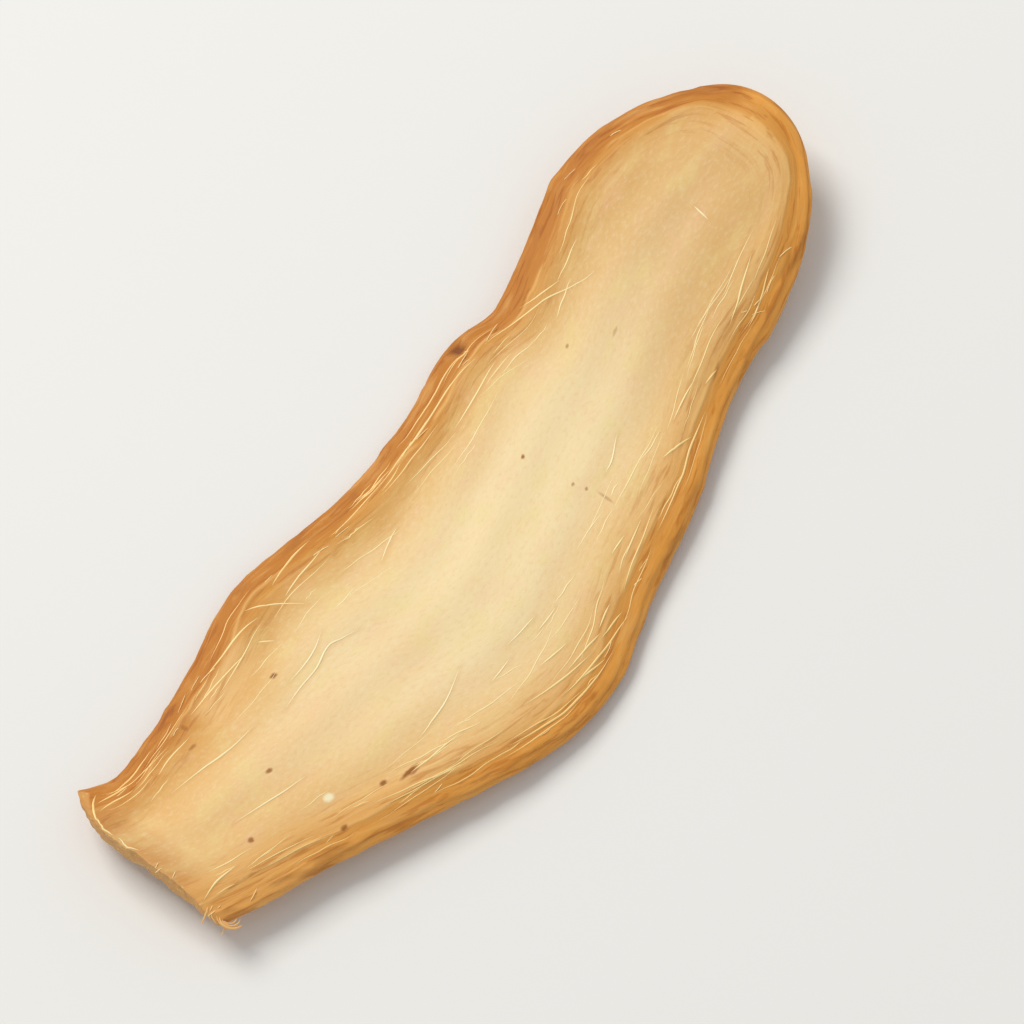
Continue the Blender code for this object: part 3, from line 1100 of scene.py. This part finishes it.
def bark_bands(tree, at, colours):
    """The main colour: two scales by the distance from the bark, the broader and browner one at +Y.

    Noise along the grain shifts the distance, less so near the bark. Towards the cut the broad band
    reaches further in.
    """
    ripple = stretched_noise(tree, at.grain, (0.22, 0.45, 0.6), detail=3.0, roughness=0.55)
    shift = sum_of(tree, "MULTIPLY_ADD", ripple, 2.6, -1.3)
    depth = sum_of(tree, "MULTIPLY_ADD", shift, sum_of(tree, "MULTIPLY_ADD", at.inside, 0.85, 0.15), at.rim)
    broader = times(tree, eased_between(tree, at.along, 21.0, 13.0), at.bark_side)
    depth = sum_of(tree, "MULTIPLY_ADD", broader, -0.7, depth)
    flesh = tuple(colours.flesh)
    thin_band = colour_scale(tree, depth, BAND_SPAN, THIN_BAND, (THIN_BAND_END, flesh))
    broad_band = colour_scale(tree, depth, BAND_SPAN, BROAD_BAND, (BROAD_BAND_END, flesh))
    return mixed(tree, at.bark_side, thin_band, broad_band)


def toned_ends(tree, at, colour):
    """Tan towards the cut end; browner right at its edge, partly a stain and partly painted shade; and tan
    towards the tip, partly its own tone and partly painted shade.
    """
    colour = tinted(tree, colour, CUT_END_TAN, eased_between(tree, at.along, 22.0, 2.0), 0.62, at.inside)
    # Partly a stain and partly painted shade at the cut's edge
    colour = tinted(tree, colour, CUT_EDGE_BROWN, eased_between(tree, at.along, 2.4, 0.1), 0.72)
    # Partly the tip's own tone and partly painted shade
    return tinted(tree, colour, TIP_TAN, eased_between(tree, at.along, 36.0, 51.0), 0.6, at.inside)


def mottled(tree, at, colour, meal):
    """Broad blotches away from the bark, and pale and dark specks of meal."""
    for scales, low, high, strength, tint in BLOTCHES:
        blotch = eased_between(tree, stretched_noise(tree, at.grain, scales), low, high)
        colour = tinted(tree, colour, tint, blotch, strength, at.inside)
    colour = tinted(tree, colour, PALE_MEAL, eased_between(tree, meal, 0.5, 0.68), 0.16, at.inside)
    return tinted(tree, colour, DARK_MEAL, eased_between(tree, meal, 0.46, 0.34), 0.12)


def paler_stretches(tree, at, colour):
    """Two stretches beside the bark that are paler: the -Y one by the cut, which is painted light that
    brightens that shaded rim, and a patch of the +Y one.
    """
    off_bark_side = sum_of(tree, "MULTIPLY_ADD", at.bark_side, -0.75, 0.75)
    # The share towards the cut where painted light brightens the shaded -Y rim
    worn = eased_between(tree, at.along, 18.0, 8.0)
    colour = tinted(tree, colour, RIM_PAINTED_LIGHT, worn, eased_between(tree, at.rim, 3.5, 1.0), off_bark_side)
    starts, ends = eased_between(tree, at.along, 8.5, 10.5), eased_between(tree, at.along, 16.0, 13.5)
    outer, inner = eased_between(tree, at.rim, 0.8, 1.5), eased_between(tree, at.rim, 3.8, 2.6)
    stretch, lane = times(tree, starts, ends), times(tree, outer, inner)
    return tinted(tree, colour, PALE_PATCH, stretch, lane, at.bark_side, 0.6)


def rind_and_lip(tree, at, colour):
    """The rind outside the face's crisp edge, worn off by the cut at -Y, and the bright lip along it, a
    painted highlight where the raised lip catches the light.
    """
    # The -Y wall's rind tone is brighter than the face's: painted bounce light on that shaded wall
    thin_rind = mixed(tree, at.on_wall, screen_colour(*RIND_ON_FACE), screen_colour(*RIND_ON_WALL))
    rind_tone = mixed(tree, at.bark_side, thin_rind, screen_colour(*BROAD_RIND))
    worn = sum_of(tree, "SUBTRACT", eased_between(tree, at.along, 9.0, 4.0), at.bark_side)
    left_over = sum_of(tree, "MULTIPLY_ADD", sum_of(tree, "MAXIMUM", worn, 0.0), -0.55, 0.75)
    colour = mixed(tree, times(tree, kept_value(tree, "rind"), left_over), colour, rind_tone)
    # Painted highlight along the raised lip
    return tinted(tree, colour, LIP_PAINTED_HIGHLIGHT, kept_value(tree, "lip"), 0.42)


def bark_tones(tree, at, colour):
    """Dusty and sooty stretches of the bark wall."""
    tone = stretched_noise(tree, at.along_rim, (0.3, 0.9, 0.2), detail=3.0)
    colour = tinted(tree, colour, BARK_DUST, eased_between(tree, tone, 0.5, 0.68), 0.45, at.on_wall)
    return tinted(tree, colour, BARK_SOOT, eased_between(tree, tone, 0.48, 0.32), 0.4, at.on_wall)


def lined_rim(tree, at, colour, lines):
    """Pale and dark lines along the rim, partly streaks of the grain and partly painted light on the crests
    and hollows of their bumps, and painted shade in the furrows beside the placed strands.
    """
    pale, dark = eased_between(tree, lines, 0.54, 0.68), eased_between(tree, lines, 0.47, 0.34)
    # Partly painted light: pale lines as lit crests and dark lines as shaded hollows, over real streaks of
    # the grain
    colour = tinted(tree, colour, PALE_LINES, pale, at.near_rim, 0.6, blend="SCREEN")
    colour = tinted(tree, colour, DARK_LINES, dark, at.near_rim, 0.6, blend="MULTIPLY")
    # Painted shade in the furrows on the shaded side of the placed strands
    return tinted(tree, colour, FURROW_PAINTED_SHADE, kept_value(tree, "furrow"), 0.3)


def fibre_dots(tree, at):
    """Dots where fibres end in the square cut: bright near the point of each cell of a Voronoi pattern."""
    across_cut = vector_sum(tree, "MULTIPLY", at.grain, (0.0, 2.6, 1.9))
    away = add_node(tree, "TexVoronoi", {"Vector": across_cut, "Scale": 1.0}).outputs["Distance"]
    return times(tree, eased_between(tree, away, 0.34, 0.1), 0.45)


def toned_cut(tree, at, colour, dots):
    """The square cut: tan, with pale fibre ends."""
    colour = tinted(tree, colour, CUT_FACE_TAN, at.on_cut, 0.6)
    return tinted(tree, colour, FIBRE_ENDS, dots, at.on_cut)


def marked(tree, at, colour, colours):
    """The scar's stain, the specks and the spot of starch, the last two with outlines bent by noise."""
    colour = tinted(tree, colour, SCAR_BROWN, kept_value(tree, "scar"))
    noise = add_node(tree, "TexNoise", {"Vector": at.grain, "Scale": 5.0, "Detail": 1.0}).outputs["Color"]
    bent = vector_sum(tree, "MULTIPLY_ADD", noise, (SPOT_BEND, SPOT_BEND, 0.0), at.grain)
    marks = 0.0
    for far, beside, long, wide, strength in SPECKS:
        mask = spot_mask(tree, bent, (far + SPOT_BEND / 2, beside + SPOT_BEND / 2, long, wide))
        marks = sum_of(tree, "MAXIMUM", marks, times(tree, mask, strength))
    colour = mixed(tree, marks, colour, tuple(colours.mark))
    return tinted(tree, colour, STARCH_WHITE, spot_mask(tree, bent, STARCH_SPOT))


def bumpy(tree, at, shader, meal, lines, dots):
    """Fine bumps on the shader: the meal, with the lines along the rim and the dots on the cut."""
    lined = sum_of(tree, "MULTIPLY_ADD", dots, at.on_cut, times(tree, lines, at.near_rim))
    heights = sum_of(tree, "MULTIPLY_ADD", meal, 0.3, times(tree, lined, 0.6))
    inputs = {"Strength": BUMP_STRENGTH, "Distance": BUMP_DEPTH, "Height": heights}
    tree.links.new(add_node(tree, "Bump", inputs).outputs["Normal"], shader.inputs["Normal"])


def flesh_material(colours):
    """Dried starchy flesh with its bark: cream in the middle, peach and golden towards the bark.

    The bands by the distance from the bark come first. Each step then lays its tones over the last: the
    ends, the mottling, the paler stretches, the rind, the bark, the lines along the rim, the cut face and
    the marks. A faint warm cast goes over them all.
    """
    material, tree, shader = new_material("dried_flesh", FLESH_FINISH)
    at = flesh_places(tree)
    meal = stretched_noise(tree, at.grain, (2.6, 4.2, 3.0), detail=3.0, roughness=0.65)
    lines = stretched_noise(tree, at.along_rim, (0.35, 3.2, 0.35), detail=3.0, roughness=0.6, distortion=0.5)
    dots = fibre_dots(tree, at)
    colour = bark_bands(tree, at, colours)
    colour = toned_ends(tree, at, colour)
    colour = mottled(tree, at, colour, meal)
    colour = paler_stretches(tree, at, colour)
    colour = rind_and_lip(tree, at, colour)
    colour = bark_tones(tree, at, colour)
    colour = lined_rim(tree, at, colour, lines)
    colour = toned_cut(tree, at, colour, dots)
    colour = marked(tree, at, colour, colours)
    colour = tinted(tree, colour, WARM_CAST, 1.0, blend="MULTIPLY")
    tree.links.new(colour, shader.inputs["Base Color"])
    bumpy(tree, at, shader, meal, lines, dots)
    return material


def strand_material(colours):
    """A dried strand: paler and a little glossier than the flesh, golden where it lies near the bark."""
    material, tree, shader = new_material("dried_strand", STRAND_FINISH)
    last = (STRAND_BAND_END, tuple(colours.strand))
    colour = colour_scale(tree, kept_value(tree, "rim"), STRAND_SPAN, STRAND_BAND, last)
    patches = stretched_noise(tree, kept_place(tree), (0.9, 2.0, 1.0))
    colour = tinted(tree, colour, STRAND_PATCHES, eased_between(tree, patches, 0.55, 0.75), 0.25)
    tree.links.new(colour, shader.inputs["Base Color"])
    return material


def floor_material(colours):
    """A pale matt tabletop, very slightly uneven in tone."""
    material, tree, shader = new_material("pale_tabletop", FLOOR_FINISH)
    place = add_node(tree, "TexCoord", {}).outputs["Object"]
    clouds = {"Vector": place, "Scale": FLOOR_CLOUDS, "Detail": 3.0}
    cloud = add_node(tree, "TexNoise", clouds).outputs["Fac"]
    darker = tuple(FLOOR_SHADE * share for share in colours.floor[:3]) + (1.0,)
    colour = mixed(tree, cloud, tuple(colours.floor), darker)
    tree.links.new(colour, shader.inputs["Base Color"])
    return material


def pale_floor(colours):
    """A wide square floor, a hair under the surface that the slice rests on."""
    height = SLICE_LOW.z / MM - FLOOR_GAP
    corners = np.array([
        (-FLOOR_REACH, -FLOOR_REACH, height),
        (FLOOR_REACH, -FLOOR_REACH, height),
        (FLOOR_REACH, FLOOR_REACH, height),
        (-FLOOR_REACH, FLOOR_REACH, height),
    ])
    floor = add_piece("pale_floor", corners, [(0, 1, 2, 3)], floor_material(colours), {})


def direction(azimuth, elevation):
    """The direction from the slice towards a camera or lamp: azimuth 0 is from -Y, 90 from +X."""
    turn, lift = math.radians(azimuth), math.radians(elevation)
    return Vector((math.sin(turn) * math.cos(lift), -math.cos(turn) * math.cos(lift), math.sin(lift)))


def aim(thing, target, way, distance):
    """Puts a camera or a lamp at a distance from the target, looking at it."""
    thing.location = target + way * distance
    thing.rotation_euler = (-way).to_track_quat("-Z", "Y").to_euler()


def window_lamp(target, power):
    """One large square lamp, like a window, aimed at the slice."""
    lamp = bpy.data.lights.new("window", "AREA")
    lamp.size = WINDOW_SIZE
    lamp.energy = power
    lamp.color = WINDOW_COLOUR
    thing = bpy.data.objects.new("window", lamp)
    bpy.context.scene.collection.objects.link(thing)
    aim(thing, target, direction(WINDOW_AZIMUTH, WINDOW_ELEVATION), WINDOW_DISTANCE)


def photograph_camera(target):
    """The camera at the photograph's angle, as far away as its picture's width at the slice asks for."""
    camera = bpy.data.cameras.new("camera")
    camera.lens = VIEW_LENS
    camera.sensor_width = SENSOR_WIDTH
    camera.clip_start = VIEW_NEAREST
    thing = bpy.data.objects.new("camera", camera)
    bpy.context.scene.collection.objects.link(thing)
    aim(thing, target, direction(VIEW_AZIMUTH, VIEW_ELEVATION), VIEW_WIDTH / SENSOR_WIDTH * VIEW_LENS)
    bpy.context.scene.camera = thing


def pale_room(brightness):
    """An even pale light from all round."""
    world = bpy.data.worlds.new("pale_room")
    world.use_nodes = True
    room = world.node_tree.nodes["Background"]
    room.inputs["Color"].default_value = ROOM_COLOUR
    room.inputs["Strength"].default_value = brightness
    bpy.context.scene.world = world


def studio(sizes, colours):
    """The floor, the camera, the lamp and the room, shown with the plain Standard view."""
    pale_floor(colours)
    target = (SLICE_LOW + SLICE_HIGH) / 2
    photograph_camera(target)
    window_lamp(target, sizes.lamp_power)
    pale_room(sizes.room_light)
    bpy.context.scene.view_settings.view_transform = "Standard"


class SliceSizes(bpy.types.PropertyGroup):
    relief: FloatProperty(
        name="Fine relief",
        description="Strength of the fine relief in faces and bark",
        subtype="FACTOR",
        default=1.0,
        min=0.0,
        max=1.5,
    )
    strands: IntProperty(
        name="Strands",
        description="Scattered strands on each cut face",
        default=110,
        min=0,
        max=200,
    )
    fibres: IntProperty(
        name="Loose fibres",
        description="Fibres torn loose at the rims and the cut",
        default=36,
        min=1,
        max=300,
    )
    lamp_power: FloatProperty(
        name="Lamp power",
        description="Power of the soft lamp, in watts",
        unit="POWER",
        default=3.3,
        min=0.0,
    )
    room_light: FloatProperty(
        name="Room light",
        description="Brightness of the pale room round the slice",
        default=0.52,
        min=0.0,
    )


def colour_property(name, description, colour):
    """A colour of the panel's, from its screen values."""
    return FloatVectorProperty(
        name=name,
        description=description,
        subtype="COLOR",
        size=4,
        min=0.0,
        max=1.0,
        default=screen_colour(*colour),
    )


class SliceColours(bpy.types.PropertyGroup):
    flesh: colour_property("Flesh", "Flesh in the middle of the slice", (246, 224, 176))
    strand: colour_property("Strand", "Strands of the vascular bundles", (255, 240, 192))
    mark: colour_property("Mark", "Specks on the upper face", (156, 92, 30))
    floor: colour_property("Floor", "The tabletop", (240, 239, 235))


class RHIZOME_OT_slice(bpy.types.Operator):
    """Builds the slice over the CAD solid"""
    bl_idname = "rhizome.slice"
    bl_label = "Build the slice"

    def execute(self, context):
        scene = context.scene
        fine_slice(scene.slice_sizes, flesh_material(scene.slice_colours))
        return {"FINISHED"}


class RHIZOME_OT_strands(bpy.types.Operator):
    """Builds the strands, the loose fibres and the frayed corner"""
    bl_idname = "rhizome.strands"
    bl_label = "Build the strands and fibres"

    def execute(self, context):
        scene = context.scene
        material = strand_material(scene.slice_colours)
        strands(scene.slice_sizes, material)
        loose_fibres(scene.slice_sizes, material)
        frayed_corner(material)
        return {"FINISHED"}


class RHIZOME_OT_stage(bpy.types.Operator):
    """Builds the floor, the camera and the light"""
    bl_idname = "rhizome.stage"
    bl_label = "Build the stage"

    def execute(self, context):
        scene = context.scene
        studio(scene.slice_sizes, scene.slice_colours)
        return {"FINISHED"}


class RHIZOME_PT_panel(bpy.types.Panel):
    """Sizes, colours and build steps of the rhizome slice"""
    bl_idname = "RHIZOME_PT_panel"
    bl_label = "Rhizome slice"
    bl_space_type = "VIEW_3D"
    bl_region_type = "UI"
    bl_category = "Rhizome slice"

    def draw(self, context):
        layout = self.layout
        for group in (context.scene.slice_sizes, context.scene.slice_colours):
            column = layout.column()
            for title in group.bl_rna.properties.keys():
                if title not in ("rna_type", "name"):
                    column.prop(group, title)
        for operator in OPERATORS:
            layout.operator(operator.bl_idname)


OPERATORS = (RHIZOME_OT_slice, RHIZOME_OT_strands, RHIZOME_OT_stage)
CLASSES = (SliceSizes, SliceColours, *OPERATORS, RHIZOME_PT_panel)


def register():
    for kind in CLASSES:
        bpy.utils.register_class(kind)
    bpy.types.Scene.slice_sizes = PointerProperty(type=SliceSizes)
    bpy.types.Scene.slice_colours = PointerProperty(type=SliceColours)


def unregister():
    del bpy.types.Scene.slice_colours
    del bpy.types.Scene.slice_sizes
    for kind in reversed(CLASSES):
        bpy.utils.unregister_class(kind)


def main():
    register()
    bpy.ops.rhizome.slice()
    bpy.ops.rhizome.strands()
    bpy.ops.rhizome.stage()


if __name__ == "__main__":
    main()
